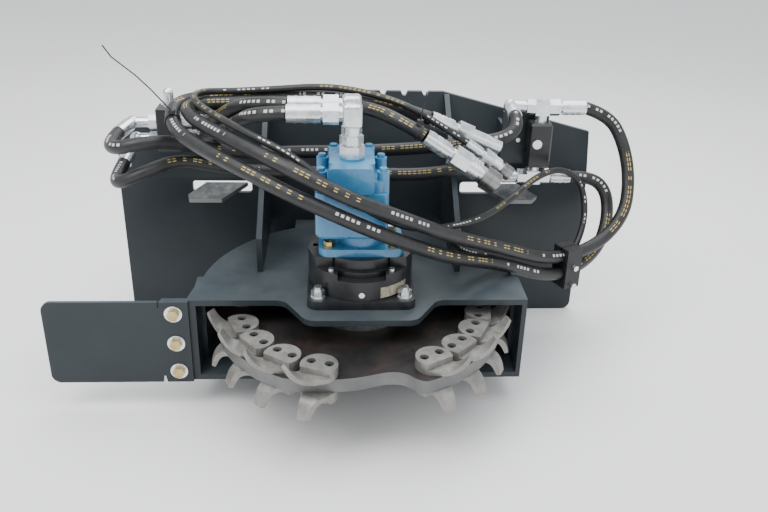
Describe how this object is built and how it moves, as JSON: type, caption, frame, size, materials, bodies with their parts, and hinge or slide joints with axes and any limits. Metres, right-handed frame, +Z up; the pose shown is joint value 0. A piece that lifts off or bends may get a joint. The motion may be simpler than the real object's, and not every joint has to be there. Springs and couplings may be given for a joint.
{
  "type": "stump grinder attachment",
  "caption": "Hydraulic stump grinder attachment for a skid-steer loader: plate, housing, gear motor, spindle and toothed cutting disc",
  "frame": {"origin": "centre of the loader plate's flat rear face", "axes": "+Y out of the rear face towards the loader, +Z up, +X to the right when facing the disc from the front; the spindle axis is vertical, 363 mm in front of the face"},
  "size_m": [1.2875, 0.724, 0.7268],
  "materials": {
    "frame_paint": "satin slate-grey powder coat with scuffs",
    "yellow_zinc": "yellow zinc plate",
    "black_iron": "black painted casting",
    "bright_zinc": "bright zinc plate",
    "label_film": "worn blank film label",
    "bearing_steel": "ground steel",
    "seal_rubber": "moulded rubber",
    "disc_steel": "mill-scaled plate, lightly rusted",
    "cast_teeth": "light grey casting",
    "black_bolts": "black oxide",
    "motor_paint": "blue enamel over cast iron, chipped",
    "hose_rubber": "wrapped hydraulic hose",
    "black_plastic": "moulded black nylon"
  },
  "bodies": {
    "frame": {"bearing_cups": "bearing_steel", "blank_label": "label_film", "cable_ties": "black_plastic", "clamp_bolts": "bright_zinc", "clamp_halves": "black_plastic", "coupler_drain_body": "bright_zinc", "coupler_pressure_body": "bright_zinc", "coupler_return_body": "bright_zinc", "deck_plate": "frame_paint", "deflector_wing": "frame_paint", "floor_plate": "frame_paint", "gusset_left": "frame_paint", "gusset_right": "frame_paint", "hose_drain": "hose_rubber", "hose_link_lower": "hose_rubber", "hose_link_upper": "hose_rubber", "hose_motor_front": "hose_rubber", "hose_motor_rear": "hose_rubber", "hose_pressure": "hose_rubber", "hose_return": "hose_rubber", "latch_ledge_left": "frame_paint", "latch_ledge_right": "frame_paint", "left_fittings": "bright_zinc", "motor_body": "motor_paint", "motor_bolts": "yellow_zinc", "motor_cover": "motor_paint", "motor_fittings": "bright_zinc", "mount_plate": "frame_paint", "rear_wall": "frame_paint", "relief_cartridge": "bright_zinc", "shaft_seal": "seal_rubber", "side_wall_left": "frame_paint", "side_wall_right": "frame_paint", "spindle_bolts": "bright_zinc", "spindle_cover": "black_iron", "spindle_housing": "black_iron", "valve_block_left": "black_iron", "valve_block_right": "black_iron", "valve_bracket": "frame_paint", "valve_tees": "bright_zinc", "wing_bolts": "yellow_zinc", "wing_bracket": "frame_paint", "wing_washers": "bright_zinc"},
    "rotor": {"spindle_shaft": "bearing_steel", "shaft_locknut": "bearing_steel", "bearing_cones": "bearing_steel", "cutter_disc": "disc_steel", "hub_clamp": "disc_steel", "teeth_upper_left_hand": "cast_teeth", "teeth_upper_right_hand": "cast_teeth", "teeth_lower_left_hand": "cast_teeth", "teeth_lower_right_hand": "cast_teeth", "tooth_bolts": "black_bolts", "drive_gear": "bearing_steel"},
    "idler": {"idler_gear": "bearing_steel"},
    "sleeve_pressure": {"coupler_pressure_sleeve": "bright_zinc"},
    "face_pressure": {"coupler_pressure_face": "bearing_steel"},
    "face_return": {"coupler_return_face": "bearing_steel"},
    "sleeve_drain": {"coupler_drain_sleeve": "bright_zinc"},
    "face_drain": {"coupler_drain_face": "bearing_steel"}
  },
  "joints": [
    {"name": "rotor_spin", "type": "hinge", "parent": "frame", "child": "rotor", "pos_m": [0, -0.363, 0], "axis": [0, 0, 1], "continuous": true},
    {"name": "idler_spin", "type": "hinge", "parent": "frame", "child": "idler", "pos_m": [-0.04, -0.363, 0], "axis": [0, 0, 1], "continuous": true},
    {"name": "sleeve_pressure_slide", "type": "slide", "parent": "frame", "child": "sleeve_pressure", "axis": [-0.839, 0, 0.5441], "range_m": [0, 0.01], "stiffness_N_per_m": 900, "springref_m": -0.008},
    {"name": "face_pressure_slide", "type": "slide", "parent": "frame", "child": "face_pressure", "axis": [-0.839, 0, 0.5441], "range_m": [0, 0.008], "stiffness_N_per_m": 1200, "springref_m": -0.008},
    {"name": "face_return_slide", "type": "slide", "parent": "frame", "child": "face_return", "axis": [-0.9239, 0, 0.3825], "range_m": [0, 0.008], "stiffness_N_per_m": 1200, "springref_m": -0.008},
    {"name": "sleeve_drain_slide", "type": "slide", "parent": "frame", "child": "sleeve_drain", "axis": [-0.8132, 0, 0.582], "range_m": [0, 0.007], "stiffness_N_per_m": 900, "springref_m": -0.008},
    {"name": "face_drain_slide", "type": "slide", "parent": "frame", "child": "face_drain", "axis": [-0.8132, 0, 0.582], "range_m": [0, 0.006], "stiffness_N_per_m": 1200, "springref_m": -0.008}
  ],
  "couplings": [
    {"joint": "idler_spin", "follows": "rotor_spin", "ratio": -1}
  ]
}
